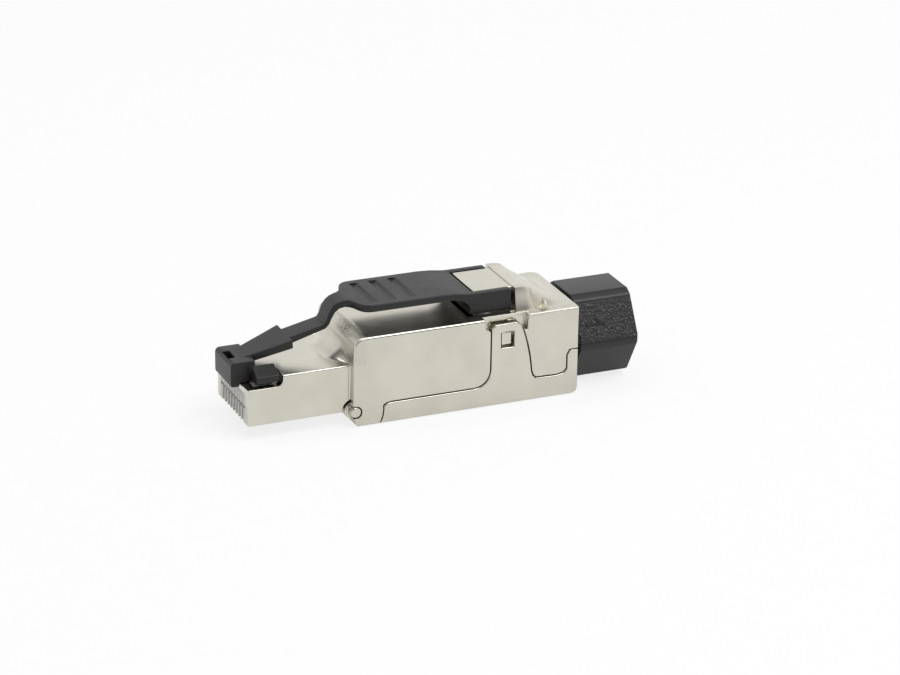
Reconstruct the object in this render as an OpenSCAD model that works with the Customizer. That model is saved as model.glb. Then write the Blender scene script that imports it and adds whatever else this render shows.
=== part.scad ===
// Field termination ethernet plug: metal body with plug nose, hinged cover, latch lever and gland nut.
// All sizes in millimetres. X runs from the nose front to the nut, Z is up from the resting face.

/* [Nose] */
// Width of the plug nose across its side faces
nose_w = 11.68; // [11.4:0.02:12]
// Length of the nose from its front face to the body
nose_len = 14; // [12:0.1:18]
// Height of the nose underside above the resting face
nose_low = 1.94; // [1.6:0.02:2.4]
// Height of the nose top above the resting face
nose_top = 8.4; // [8.0:0.05:9.0]
// Thickness of the nose side walls
nose_wall = 1.14; // [0.9:0.02:1.3]
// Thickness of the nose top wall
nose_roof = 1.0; // [0.8:0.05:1.1]
// Radius of the upright front corners of the nose
nose_round = 0.2; // [0.1:0.05:0.5]
// Length of the corner cutouts for the lever lugs
cut_len = 4.79; // [4.4:0.05:6]
// Length of the bar across the nose front, under the lever root
bar_len = 1.2; // [1:0.05:1.4]
// Height of the bar across the nose front
bar_h = 0.95; // [0.8:0.05:1]
// Height of the cutout floor above the nose underside
cut_floor = 4.98; // [4.6:0.02:5.2]

/* [Body] */
// Length of the metal body behind the nose
body_len = 31.96; // [31:0.1:38]
// Width of the metal body
body_w = 14; // [13.8:0.1:17]
// Height of the body side from the resting face to its top edge
body_h = 12.36; // [12.2:0.02:13.2]
// Thickness of the housing walls
wall = 0.9; // [0.8:0.05:1.0]
// Radius of the upper front corner of the body side
body_round = 1.5; // [0.5:0.1:2]
// Radius of the lower rear corner of the body side
rear_round = 1.2; // [0.4:0.1:1.4]
// Radius of the upright rear corner on the near side
corner_round = 0.4; // [0.3:0.05:0.8]
// Radius of the upright rear corner on the far side
far_rear_round = 1.2; // [0.6:0.05:1.4]
// Radius of the upper front corner on the far side, seen from above
far_front_round = 1.6; // [0.6:0.05:1.7]
// Radius of the long bottom edges
edge_round = 0.55; // [0.2:0.05:0.7]
// Width of the seam between upper housing and cover
seam = 0.15; // [0.1:0.01:0.17]

/* [Hinge] */
// Distance of the hinge axis behind the body front face
hinge_back = 0.35; // [0.3:0.05:0.4]
// Height of the hinge axis above the resting face
hinge_up = 2.1; // [2.0:0.05:2.2]
// Radius of the hinge stubs of the cover
stub_r = 0.8; // [0.7:0.02:0.84]
// Radial running clearance of the hinge stubs in their seats
stub_play = 0.07; // [0.04:0.01:0.09]
// Radius of the hinge barrel of the cover
barrel_r = 1.2; // [1.1:0.02:1.3]

/* [Cover] */
// Height of the side strips of the cover
strip_h = 2.85; // [2.6:0.05:3.0]
// Distance from the front edge of the snap tongue to the body rear face
tongue_back = 12.59; // [12.4:0.01:12.8]
// Drop of the snap tongue top below the body top edge
tongue_drop = 0.91; // [0.8:0.01:1.1]
// Length of the snap tongue, measured as radius about the hinge
tongue_len = 5.83; // [5.7:0.01:5.9]
// Side of the square window in the snap tongue, along the body
window_w = 1.9; // [1.6:0.05:2.1]
// Height of the square window
window_h = 2.2; // [1.9:0.05:2.3]
// Drop of the rear corner of the cover below the gland axis
corner_drop = 0.06; // [0.02:0.01:0.2]
// Length of the rear corner of the cover
corner_len = 1.6; // [1.4:0.05:1.8]

/* [Gland] */
// Hexagon size across flats
nut_flats = 11.85; // [11.6:0.05:12.3]
// Distance from the gland axis to the corner bevels of the hexagon
nut_bevel = 6.52; // [6.3:0.02:6.7]
// Length of the gland nut
nut_len = 8.4; // [8:0.1:9]
// Gap between the gland nut and the body
nut_gap = 0.5; // [0.45:0.01:0.6]
// Radius of the rear collar where the nut is guided
collar_r = 4.85; // [4.8:0.01:4.9]
// Radial running clearance of the nut on the collar
nut_play = 0.05; // [0.03:0.01:0.09]
// Depth of the thread zone of the collar below its guide land
thread_deep = 0.32; // [0.3:0.01:0.4]
// Wall thickness of the collar at the thread zone
collar_wall = 0.43; // [0.35:0.01:0.5]
// Radius of the cable entry in the rear of the nut
entry_r = 3.5; // [3.2:0.05:3.55]
// Radial step from the cable entry to the bore of the slip ring
entry_step = 0.35; // [0.2:0.05:0.45]
// Thickness of the rear lip of the nut
lip = 0.86; // [0.7:0.02:1.1]

/* [Lever] */
// Width of the thumb pad of the lever
pad_w = 9.4; // [9.2:0.1:9.8]
// Rise of the thumb pad top above the body top edge
pad_rise = 3.36; // [3.2:0.02:3.7]
// Thickness of the thumb pad
pad_t = 1.0; // [0.9:0.05:1.1]
// Width of the strip between wedge and arch
strip_w = 3.1; // [2.9:0.05:3.3]
// Width of the latch wedge at its rear
wedge_w = 5.9; // [5.8:0.05:6.3]
// Width of the front hood
hood_w = 6.14; // [6:0.02:6.3]
// Radius of the upper front edge of the hood
hood_round = 0.6; // [0.3:0.05:0.8]
// Length of the hood in front of the nose
hood_out = 1.3; // [1.1:0.05:1.4]
// Gap between the hood and the nose front
hood_gap = 0.1; // [0.08:0.01:0.2]
// Number of cross grooves in the thumb pad
groove_count = 3; // [1:1:4]
// Distance between neighbouring cross grooves
groove_pitch = 2.7; // [2.2:0.1:3]
// Clearance around the rear block in its pocket
pocket_gap = 0.25; // [0.2:0.01:0.3]
// Depth of the pocket below the rear block
pocket_drop = 1.8; // [1.75:0.05:1.9]
// Thickness of the hold down tab of the housing
tab_t = 0.85; // [0.7:0.05:0.9]

/* [Contacts] */
// Distance between neighbouring contact blades
contact_pitch = 1.016; // [1.016]
// Thickness of a contact blade
contact_t = 0.35; // [0.3:0.01:0.4]
// Width of a slot of the contact carrier
slot_w = 0.6; // [0.5:0.02:0.7]
// Height of the circuit board underside above the resting face
board_z = 6.0; // [5.9:0.05:6.1]
// Thickness of the circuit board
board_t = 0.8; // [0.7:0.05:0.9]
// Thickness of the ribs between the wire channels
wire_rib = 0.25; // [0.22:0.01:0.35]
// Height of the wire channel floor above the resting face
channel_low = 2.3; // [2.1:0.05:2.5]
// Thickness of a wire terminal
terminal_t = 0.4; // [0.3:0.02:0.44]

/* [Hidden] */
body_front = nose_len;
body_rear = nose_len + body_len;
half = body_w / 2;
inner = half - wall;
nose_half = nose_w / 2;
hx = body_front + hinge_back;
hz = hinge_up;
pad_top = body_h + pad_rise;
tongue_top = body_h - tongue_drop;
gland_z = body_h - nut_flats / 2;
corner_h = gland_z - corner_drop;
nut_front = body_rear + nut_gap;
nut_rear = nut_front + nut_len;
mid_x = (nut_rear - hood_out) / 2;
cut_z = nose_low + cut_floor;
roof_low = body_h - wall;
tongue_x = body_rear - tongue_back;
tongue_reach = tongue_x - hx + tongue_len;
corner_x = body_rear - corner_len;
window_x = tongue_x + 1.33;
window_z = tongue_top - 3.38;
block_rear = tongue_x + 3.73;
block_front = block_rear - 6;
block_low = body_h + 0.04;
arm_top = pad_top - 0.37;
hump_front = block_rear + 0.4;
pocket_front = block_front - 0.3;
pocket_low = block_low - pocket_drop;
pocket_half = pad_w / 2 + pocket_gap;
tab_top = arm_top - 0.15;
tab_half = pad_w / 2 - 1.1;
notch_front = block_front + 0.65;
hood_top = nose_top + 1.4;
hood_low = nose_top + 0.15;
arch_x = body_front - 1.94;
arch_foot = hood_top + 2.92;
scoop_z = body_h - 0.5;
bore_r = collar_r - thread_deep - collar_wall;
collar_end = nut_rear - lip - 1.5;
nut_bore = collar_r + nut_play;
board_top = board_z + board_t;
wire_pitch = (inner - wall) / 4;
channel_w = wire_pitch - wire_rib;
blade_half = wire_pitch * 0.73;
spring_x0 = tongue_x + 0.4;
manager_x1 = spring_x0 - wall * 1.5;
row_a = manager_x1 - wall * 3.2;
row_b = row_a - wall * 5;
board_rear = row_a + wall * 2.8;
manager_x0 = row_b - wall * 2.9;
manager_half = inner - wall * 2 / 3;
carrier_len = nose_len * 0.52;
carrier_end = nose_len * 0.63;
comb_h = nose_low + 2.05;
root_end = 2;
spring_t = wall / 3;
manager_top = strip_h + 1.45;
metal = [0.76, 0.75, 0.71];
black = [0.13, 0.13, 0.13];
gold = [0.83, 0.66, 0.3];

// A side view shape spread across the width from y0 to y1
module across(y0, y1) {
    translate([0, y1, 0])
        rotate([90, 0, 0])
            linear_extrude(y1 - y0)
                children();
}

// A front view shape spread along the body from x0 to x1
module along(x0, x1) {
    translate([x0, 0, 0])
        rotate([90, 0, 90])
            linear_extrude(x1 - x0)
                children();
}

module both_sides() {
    children();
    mirror([0, 1, 0])
        children();
}

module block(x0, x1, y0, y1, z0, z1) {
    translate([x0, y0, z0])
        cube([x1 - x0, y1 - y0, z1 - z0]);
}

module rod_x(x0, x1, r) {
    translate([x0, 0, gland_z])
        rotate([0, 90, 0])
            cylinder(h = x1 - x0, r = r, $fn = 64);
}

module rod_y(y0, y1, r, x, z) {
    translate([x, y1, z])
        rotate([90, 0, 0])
            cylinder(h = y1 - y0, r = r, $fn = 48);
}

// Whole side outline of the closed body
module body_side() {
    difference() {
        translate([body_front, 0])
            square([body_len, body_h]);
        difference() {
            translate([body_front - 1, body_h - body_round])
                square([1 + body_round, body_round + 1]);
            translate([body_front + body_round, body_h - body_round])
                circle(body_round, $fn = 48);
        }
        difference() {
            translate([body_rear - rear_round, -1])
                square([rear_round + 1, 1 + rear_round]);
            translate([body_rear - rear_round, rear_round])
                circle(rear_round, $fn = 48);
        }
        polygon([[body_front - 1, -1], [body_front + 0.7, -1], [body_front + 0.7, 0], [body_front, 1.3],
            [body_front - 1, 1.3]]);
    }
}

// Side outline of the cover, with edges that swing clear about the hinge
module cover_side() {
    foot_r = 3.95;
    intersection() {
        body_side();
        polygon(concat(
            [for (a = [-36 : 6 : 6]) [hx + foot_r * cos(a), hz + foot_r * sin(a)]],
            [[hx + 4.3, strip_h - 0.12], [hx + 4.95, strip_h]],
            [for (a = [0 : 15 : 90]) [tongue_x - 2.4 + 2.4 * sin(a), strip_h + 2.4 - 2.4 * cos(a)]],
            [[tongue_x, tongue_top - 0.5], [tongue_x + 0.5, tongue_top]],
            [[tongue_x + 3.5, tongue_top + 0.03]],
            [for (a = [21.5 : -1.5 : 5]) [hx + tongue_reach * cos(a), hz + tongue_reach * sin(a)]],
            [[tongue_x + 5.98, strip_h + 0.7], [tongue_x + 6.4, strip_h + 0.28]],
            [[corner_x - 1.5, strip_h + 0.2], [corner_x - 0.5, strip_h + 0.42], [corner_x, strip_h + 0.95]],
            [[corner_x, corner_h - 0.6], [corner_x + 0.35, corner_h], [body_rear + 1, corner_h]],
            [[body_rear + 1, -1], [hx + 3.2, -1]]
        ));
    }
}

// Open notch in the side wall around the top of the snap tongue
module notch_side() {
    polygon([[tongue_x - 0.87, body_h + 1], [tongue_x - 0.77, tongue_top - 0.45],
        [tongue_x, tongue_top - 0.95], [tongue_x + 4.4, tongue_top - 1.25],
        [tongue_x + 5.08, tongue_top - 1.25], [tongue_x + 5.25, body_h + 1]]);
}

module upper_side() {
    difference() {
        body_side();
        offset(delta = seam)
            cover_side();
        translate([hx, hz])
            circle(stub_r + stub_play, $fn = 48);
        notch_side();
    }
}

// Rounded plan of the nose
module nose_plan() {
    translate([nose_round, -nose_half])
        square([nose_len + 0.5 - nose_round, nose_w]);
    translate([0, nose_round - nose_half])
        square([nose_len, nose_w - 2 * nose_round]);
    for (s = [-1, 1])
        translate([nose_round, s * (nose_half - nose_round)])
            circle(nose_round, $fn = 32);
}

// Side profile of the hump behind the lever
module hump_side() {
    polygon([[hump_front, body_h - 0.5], [hump_front, arm_top], [hump_front + 0.9, arm_top - 0.05],
        [hump_front + 1.7, arm_top - 0.2], [hump_front + 2.4, arm_top - 0.5], [hump_front + 3.1, arm_top - 0.95],
        [hump_front + 3.8, arm_top - 1.45], [hump_front + 4.6, arm_top - 2.1], [hump_front + 5.4, arm_top - 2.55],
        [hump_front + 6.3, arm_top - 2.85], [hump_front + 7.4, body_h], [hump_front + 7.4, body_h - 0.5]]);
}

module hump_plan() {
    w = pad_w / 2 + 0.05;
    pts = [[0, w], [1.2, w], [2.2, w - 0.03], [3.0, w - 0.15], [3.8, w - 0.4], [4.5, w - 0.75], [5.0, w - 1.15],
        [5.3, w - 1.5], [5.6, w - 1.7], [7.4, w - 1.9]];
    polygon(concat([for (p = pts) [hump_front + p[0], -p[1]]],
        [for (i = [len(pts) - 1 : -1 : 0]) [hump_front + pts[i][0], pts[i][1]]]));
}

// One side of the scoop beside the hump
module scoop_plan() {
    w = inner;
    pts = [[-0.8, w - 0.2], [0.4, w - 0.25], [1.9, w - 0.65], [3, w - 1.05], [3.9, w - 1.5], [4.6, w - 1.9],
        [5.05, w - 2.35], [5, w - 2.8], [4.6, w - 3.1], [-0.8, w - 3.1]];
    polygon([for (p = pts) [hump_front + p[0], -p[1]]]);
}

// The cutter that opens the lower edge of both long sides
module bottom_edges() {
    both_sides()
        difference() {
            block(body_front - 1, body_rear + 1, -half - 1, -half + edge_round, -1, edge_round);
            translate([body_front - 2, -half + edge_round, edge_round])
                rotate([0, 90, 0])
                    cylinder(h = body_len + 4, r = edge_round, $fn = 32);
        }
}

// The cutter that rounds one upright rear corner
module rear_corner(r) {
    difference() {
        block(body_rear - r, body_rear + 0.2, -half - 1, -half + r, -1, body_h + 1);
        translate([body_rear - r, -half + r, -2])
            cylinder(h = body_h + 4, r = r, $fn = 48);
    }
}

module rear_corners() {
    rear_corner(corner_round);
    mirror([0, 1, 0])
        rear_corner(far_rear_round);
}

// The cutter that rounds the upper front corner on the far side
module far_front_corner() {
    difference() {
        block(body_front - 0.2, body_front + far_front_round, half - far_front_round, half + 1, nose_top, body_h + 1);
        translate([body_front + far_front_round, half - far_front_round, 0])
            cylinder(h = body_h + 4, r = far_front_round, $fn = 64);
    }
}

module upper_shell() {
    // side panels
    both_sides()
        across(-half, -inner)
            upper_side();
    // front wall, roof and rear wall
    across(-half, half)
        intersection() {
            body_side();
            union() {
                translate([body_front, 3.65])
                    square([wall, body_h]);
                translate([body_front, roof_low])
                    square([body_len, wall]);
                translate([body_rear - wall - 0.1, corner_h + seam])
                    square([wall + 0.1, body_h]);
            }
        }
    // pocket under the rear block of the lever
    block(pocket_front - 0.8, hump_front + 0.8, -pocket_half - 0.7, pocket_half + 0.7, pocket_low - 0.75, body_h);
    // thicker roof under the scoops
    block(hump_front - 0.5, hump_front + 6.3, -inner, inner, body_h - 1.45, body_h);
    // snap walls behind the tongues, with their lugs
    both_sides() {
        block(tongue_x - 0.95, tongue_x + 5.3, -inner + 0.1, -inner + 0.8, tongue_top - 4.1, body_h - 0.06);
        block(window_x + 0.25, window_x + 1.65, -inner - 0.4, -inner + 0.2, window_z + 0.28, window_z + 1.98);
    }
    // ledges above the circuit board
    both_sides()
        block(body_front + 0.5, board_rear - 1, -inner - 0.2, -inner + 0.9, board_top, board_top + 0.6);
    // nose
    translate([0, 0, nose_low])
        linear_extrude(nose_top - nose_low)
            nose_plan();
    // fillet from the nose top to the body front
    across(-nose_half + 1.2, nose_half - 1.2)
        difference() {
            translate([body_front - 2.2, nose_top - 0.2])
                square([2.6, 2.4]);
            translate([body_front - 2.2, nose_top + 2.2])
                circle(2.2, $fn = 64);
        }
    // hump and hold down tab
    intersection() {
        across(-half, half)
            hump_side();
        translate([0, 0, body_h - 1])
            linear_extrude(6)
                hump_plan();
    }
    block(notch_front + 0.35, hump_front + 0.3, -tab_half, tab_half, tab_top - tab_t, tab_top);
    // rear collar
    rod_x(body_rear - 1, body_rear + 1.3, collar_r);
    rod_x(body_rear - 1, collar_end, collar_r - thread_deep);
}

module upper_housing() {
    color(metal)
        translate([-mid_x, 0, 0])
            difference() {
                upper_shell();
                // opening of the nose front above the bar, for the lever root
                block(-1, root_end + 0.1, -nose_half - 1, nose_half + 1, cut_z, nose_top + 1);
                // inside of the nose, open below at the contacts
                block(-1, nose_len + wall + 0.1, -nose_half + nose_wall, nose_half - nose_wall, nose_low + 0.95,
                    cut_z - bar_h);
                block(bar_len, nose_len + wall + 0.1, -nose_half + nose_wall, nose_half - nose_wall, cut_z - bar_h - 1,
                    nose_top - nose_roof);
                block(-1, carrier_end + 0.1, -nose_half + nose_wall, nose_half - nose_wall, nose_low - 1,
                    nose_low + 1);
                // corner cutouts for the lever lugs
                both_sides()
                    across(-nose_half - 1, -hood_w / 2 - 0.15)
                        union() {
                            translate([-1, cut_z])
                                square([cut_len + 1 - 0.9, 4]);
                            translate([-1, cut_z + 0.9])
                                square([cut_len + 1, 4]);
                            translate([cut_len - 0.9, cut_z + 0.9])
                                circle(0.9, $fn = 40);
                        }
                // room for the hinge barrel
                rod_y(-inner, inner, barrel_r + 0.3, hx, hz);
                // pocket and scoops
                block(pocket_front, hump_front, -pocket_half, pocket_half, pocket_low, tab_top - tab_t);
                block(pocket_front, notch_front + 0.3, -pocket_half, pocket_half, pocket_low, pad_top + 1);
                both_sides()
                    difference() {
                        translate([0, 0, scoop_z])
                            linear_extrude(4)
                                scoop_plan();
                        translate([0, 0, scoop_z - 1])
                            linear_extrude(6)
                                hump_plan();
                        block(0, hump_front, -pocket_half - 0.2, pocket_half + 0.2, 0, 20);
                    }
                // open notches above the snap tongues
                both_sides()
                    across(-half - 1, -inner + 0.1)
                        notch_side();
                // cable passage
                rod_x(body_rear - 3, collar_end + 1, bore_r);
                bottom_edges();
                rear_corners();
                far_front_corner();
            }
}

module lower_housing() {
    color(metal)
        translate([-mid_x, 0, 0])
            difference() {
                union() {
                    both_sides()
                        across(-half, -inner)
                            cover_side();
                    // floor and rear wall
                    across(-half, half)
                        intersection() {
                            cover_side();
                            union() {
                                square([body_rear, wall]);
                                translate([body_rear - wall - 0.1, 0])
                                    square([wall + 0.1, corner_h]);
                            }
                        }
                    block(body_front + 0.6, hx + 5, -inner + 0.1, inner - 0.1, 0, wall);
                    across(-inner + 0.1, inner - 0.1)
                        polygon([[hx, hz - 1], [hx + 0.6, 0.2], [hx + 2.6, 0.2], [hx + 1.1, hz], [hx, hz]]);
                    rod_y(-inner + 0.1, inner - 0.1, barrel_r, hx, hz);
                    rod_y(-half, half, stub_r, hx, hz);
                }
                // windows and the tracks of the snap lugs above them
                both_sides() {
                    block(window_x, window_x + window_w, -half - 1, -inner + 1, window_z, window_z + window_h);
                    across(-inner - 0.5, -inner + 1)
                        intersection() {
                            difference() {
                                translate([hx, hz])
                                    circle(norm([window_x + 1.85 - hx, window_z + 2.1 - hz]), $fn = 180);
                                translate([hx, hz])
                                    circle(norm([window_x + 0.1 - hx, window_z + 0.15 - hz]), $fn = 180);
                            }
                            translate([tongue_x - 1, window_z + 0.15])
                                square([6, 6]);
                        }
                }
                rod_x(body_rear - 3, body_rear + 1, collar_r + 0.3);
                bottom_edges();
                rear_corners();
            }
}

// Side profile of the strip, arch, thumb pad and rear block
module lever_side() {
    bottom = pad_top - pad_t;
    rise = pad_top - arch_foot;
    polygon([[6.4, hood_top + 1.6], [7.1, hood_top + 1.82], [arch_x, arch_foot],
        [arch_x + 0.34, arch_foot + rise * 0.19], [arch_x + 0.74, pad_top - rise * 0.45],
        [arch_x + 1.19, pad_top - rise * 0.25], [arch_x + 1.74, pad_top - rise * 0.11],
        [arch_x + 2.54, pad_top - rise * 0.03], [arch_x + 3.34, pad_top],
        [block_rear - 9.6, pad_top], [block_rear - 7.8, pad_top - 0.1],
        [block_rear - 6.3, arm_top + 0.06], [block_rear - 5.6, arm_top], [block_rear - 0.25, arm_top],
        [block_rear, arm_top - 0.25], [block_rear, block_low], [block_front, block_low],
        [block_front, block_low + 0.9], [block_front - 0.2, block_low + 1.4], [block_front - 0.8, block_low + 1.9],
        [block_front - 1.9, bottom], [arch_x + 2.84, bottom], [arch_x + 2.14, bottom - rise * 0.05],
        [arch_x + 1.54, bottom - rise * 0.2], [arch_x + 1.04, bottom - rise * 0.46],
        [arch_x + 0.74, bottom - rise * 0.7], [arch_x + 0.27, arch_foot - 0.62], [7.2, hood_top + 0.82],
        [6.4, hood_top + 0.6]]);
}

module lever_plan() {
    s = strip_w / 2;
    w = pad_w / 2;
    x = body_front;
    pts = [[6, s], [x, s + 0.03], [x + 0.86, s + 0.14], [x + 1.35, s + 0.5], [x + 1.62, s + 1], [x + 1.82, s + 1.6],
        [x + 2.04, s + 2.1], [x + 2.35, s + 2.6], [x + 2.8, w - 0.2], [x + 3.3, w - 0.04], [x + 3.8, w],
        [block_rear, w]];
    polygon(concat([for (p = pts) [p[0], -p[1]]],
        [for (i = [len(pts) - 1 : -1 : 0]) [pts[i][0], pts[i][1]]]));
}

module latch_lever() {
    h = hood_w / 2;
    color(black)
        translate([-mid_x, 0, 0])
            difference() {
                union() {
                    // hood over the nose front
                    across(-h, h)
                        polygon(concat([[-hood_gap, nose_top - 1.95], [-hood_out + 0.15, nose_top - 1.95],
                            [-hood_out, nose_top - 1.75]],
                            [for (a = [180 : -15 : 90]) [hood_round - hood_out + hood_round * cos(a),
                                hood_top - hood_round + hood_round * sin(a)]],
                            [[root_end, hood_top], [root_end, cut_z + 0.08], [-hood_gap, cut_z + 0.08]]));
                    // side lugs
                    both_sides()
                        intersection() {
                            along(1.35, cut_len - 0.34)
                                polygon([[-h - 0.2, hood_low + 0.6], [-nose_half + 0.3, nose_top - 0.05],
                                    [-nose_half + 0.3, cut_z + 0.62], [-nose_half + 0.55, cut_z + 0.38],
                                    [-h - 0.28, cut_z + 0.38], [-h - 0.28, hood_low + 0.01]]);
                            across(-half, half)
                                polygon([[1.35, cut_z], [1.35, hood_top - 1.35], [1.9, hood_top], [6, hood_top],
                                    [6, cut_z + 1.1], [cut_len - 0.34, cut_z + 1.1], [cut_len - 0.55, cut_z + 0.65],
                                    [cut_len - 0.95, cut_z + 0.38], [cut_len - 1, cut_z]]);
                        }
                    both_sides()
                        block(1.35, root_end, -h - 0.5, -h + 0.2, hood_low - 0.4, hood_low + 0.55);
                    // latch wedge, an arrow head in plan
                    intersection() {
                        across(-4, 4)
                            polygon([[1.0, hood_top - 0.03], [7.19, hood_top + 1.93], [7.26, hood_top + 0.82],
                                [2.4, hood_top - 0.62], [1.0, hood_top - 0.8]]);
                        linear_extrude(20)
                            polygon([[0.9, -wedge_w / 4], [7.4, -wedge_w / 2 - 0.05], [7.4, wedge_w / 2 + 0.05],
                                [0.9, wedge_w / 4]]);
                    }
                    // strip, arch, pad and rear block
                    intersection() {
                        across(-half, half)
                            lever_side();
                        linear_extrude(20)
                            lever_plan();
                    }
                }
                // slot in the hood
                block(-hood_out + 0.47, 0, -1.22, 1.22, nose_top - 0.8, hood_top + 1);
                // open notch for the hold down tab
                block(notch_front, block_rear + 1, -tab_half - 0.15, tab_half + 0.15, tab_top - tab_t - 0.25,
                    pad_top + 1);
                // thumb grooves
                for (i = [0 : groove_count - 1])
                    rod_y(-pad_w / 2 + 1.1, pad_w / 2 - 1.1, 0.73, body_front + 4 + i * groove_pitch,
                        pad_top + 0.48);
            }
}

module gland_nut() {
    color(black)
        translate([-mid_x, 0, 0])
            difference() {
                translate([nut_front, 0, gland_z])
                    rotate([0, 90, 0])
                        intersection() {
                            rotate([0, 0, 30])
                                cylinder(h = nut_len, r = nut_flats / 2 / cos(30), $fn = 6);
                            cylinder(h = nut_len, r = nut_bevel / cos(30), $fn = 6);
                        }
                rod_x(nut_front - 1, nut_rear - lip, nut_bore);
                rod_x(nut_front, nut_rear + 1, entry_r);
            }
}

module contact_carrier() {
    y = nose_half - nose_wall - 0.05;
    color([0.82, 0.82, 0.8])
        translate([-mid_x, 0, 0])
            difference() {
                union() {
                    block(0.03, carrier_len, -y, y, nose_low, cut_z - bar_h - 0.05);
                    block(bar_len + 0.1, carrier_len, -y, y, nose_low, cut_z - 0.12);
                    block(root_end + 0.4, carrier_len, -hood_w / 2 + 0.1, hood_w / 2 - 0.1, nose_low,
                        nose_top - nose_roof);
                    block(carrier_len - 0.3, carrier_end, -y, y, nose_low, board_z - 0.1);
                }
                for (i = [0 : 7])
                    translate([0, (i - 3.5) * contact_pitch, 0]) {
                        block(-1, nose_len * 0.4, -slot_w / 2, slot_w / 2, 0, comb_h);
                        block(-1, 0.2, -slot_w / 5, slot_w / 5, comb_h, comb_h + 1.7);
                        block(nose_len * 0.36, carrier_end + 0.1, -slot_w / 2, slot_w / 2, nose_low + 1.2, 10);
                    }
                // groove across the front above the comb
                block(-1, 0.45, -y - 1, y + 1, comb_h - 0.05, comb_h + 0.28);
            }
}

// One contact blade, with its tail under the circuit board
module contact(i) {
    y = (i - 4.5) * contact_pitch;
    z = nose_low;
    tip = nose_len * 0.085;
    bend = nose_len * 0.38;
    tail = carrier_end - 0.25;
    color(gold)
        translate([-mid_x, 0, 0])
            across(y - contact_t / 2, y + contact_t / 2)
                polygon([[tip + 0.3, z + 0.5], [bend, z + 0.5], [bend + 0.2, z + 1.4], [tail, z + 2.6], [tail, board_z],
                    [tail - 0.7, board_z], [tail - 0.7, z + 3.1], [bend - 0.2, z + 2], [tip + 0.3, z + 2],
                    [tip, z + 1.7], [tip, z + 0.8]]);
}

module contact_1() { contact(1); }
module contact_2() { contact(2); }
module contact_3() { contact(3); }
module contact_4() { contact(4); }
module contact_5() { contact(5); }
module contact_6() { contact(6); }
module contact_7() { contact(7); }
module contact_8() { contact(8); }

// Place of terminal i: odd ones in the rear row, even ones in the front row
function term_x(i) = i % 2 == 1 ? row_a : row_b;
function term_y(i) = (i - 4.5) * wire_pitch;

module circuit_board() {
    y = nose_half - nose_wall - 0.2;
    color([0.1, 0.35, 0.2])
        translate([-mid_x, 0, 0])
            difference() {
                union() {
                    block(carrier_end - 1.2, body_front + 2, -y, y, board_z, board_top);
                    block(body_front + wall + 0.2, board_rear, -inner + 0.2, inner - 0.2, board_z, board_top);
                }
                for (i = [1 : 8])
                    translate([term_x(i), term_y(i), board_z - 1])
                        cylinder(h = 4, r = 0.36, $fn = 24);
            }
}

module terminal_block() {
    color([0.2, 0.2, 0.2])
        translate([-mid_x, 0, 0])
            difference() {
                block(row_b - 1.6, row_a + 1.6, -manager_half, manager_half, manager_top + 0.2, board_z);
                for (i = [1 : 8])
                    translate([term_x(i), term_y(i), 0])
                        block(-terminal_t / 2 - 0.03, terminal_t / 2 + 0.03, -blade_half - 0.03, blade_half + 0.03,
                            0, 10);
            }
}

// One forked wire terminal with its pin through the board
module terminal(i) {
    tip = channel_low + 0.3;
    b = blade_half;
    color(gold)
        translate([term_x(i) - mid_x, term_y(i), 0])
            along(-terminal_t / 2, terminal_t / 2)
                polygon([[-b, board_z], [-b, tip + 0.4], [-b / 2, tip], [-0.18, tip + 0.6], [-0.18, board_z - 1.1],
                    [0.18, board_z - 1.1], [0.18, tip + 0.6], [b / 2, tip], [b, tip + 0.4], [b, board_z],
                    [0.24, board_z], [0.24, board_top + 0.6], [-0.24, board_top + 0.6], [-0.24, board_z]]);
}

module terminal_1() { terminal(1); }
module terminal_2() { terminal(2); }
module terminal_3() { terminal(3); }
module terminal_4() { terminal(4); }
module terminal_5() { terminal(5); }
module terminal_6() { terminal(6); }
module terminal_7() { terminal(7); }
module terminal_8() { terminal(8); }

module wire_manager() {
    color([0.9, 0.9, 0.88])
        translate([-mid_x, 0, 0])
            difference() {
                block(manager_x0, manager_x1, -manager_half, manager_half, wall, manager_top);
                for (i = [1 : 8]) {
                    block(manager_x0 - 1, manager_x1 + 1, term_y(i) - channel_w / 2, term_y(i) + channel_w / 2,
                        channel_low, 10);
                    block(term_x(i) - 0.85, term_x(i) + 0.4, term_y(i) - blade_half - 0.15,
                        term_y(i) + blade_half + 0.15, channel_low, 10);
                }
            }
}

module shield_spring() {
    x = spring_x0;
    t = spring_t;
    color([0.75, 0.75, 0.72])
        translate([-mid_x, 0, 0])
            across(-manager_half / 2, manager_half / 2)
                polygon([[x, wall], [x + t * 25, wall], [x + t * 28, wall + t * 3], [x + t * 27, wall + t * 4],
                    [x + t * 24.5, wall + t], [x + t * 7, wall + t], [x + t * 17.5, wall + t * 7],
                    [x + t * 22, wall + t * 5.4], [x + t * 22.7, wall + t * 6.4], [x + t * 17.5, wall + t * 8.3],
                    [x + t * 4, wall + t], [x, wall + t]]);
}

module clamp_collet() {
    r = bore_r - 0.08;
    color([0.6, 0.6, 0.58])
        translate([-mid_x, 0, 0])
            difference() {
                union() {
                    rod_x(body_rear + 0.3, collar_end + 0.1, r);
                    rod_x(collar_end, collar_end + 0.5, collar_r - 0.1);
                }
                rod_x(body_rear - 1, collar_end + 1, r - 0.42);
            }
}

module sealing_ring() {
    color([0.1, 0.1, 0.1])
        translate([-mid_x, 0, 0])
            difference() {
                rod_x(collar_end + 0.5, collar_end + 1, collar_r - 0.1);
                rod_x(collar_end, collar_end + 2, bore_r - 0.35);
            }
}

module slip_ring() {
    color([0.7, 0.7, 0.68])
        translate([-mid_x, 0, 0])
            difference() {
                rod_x(collar_end + 1.02, nut_rear - lip - 0.03, collar_r - 0.03);
                rod_x(collar_end, nut_rear, entry_r + entry_step);
            }
}

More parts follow.
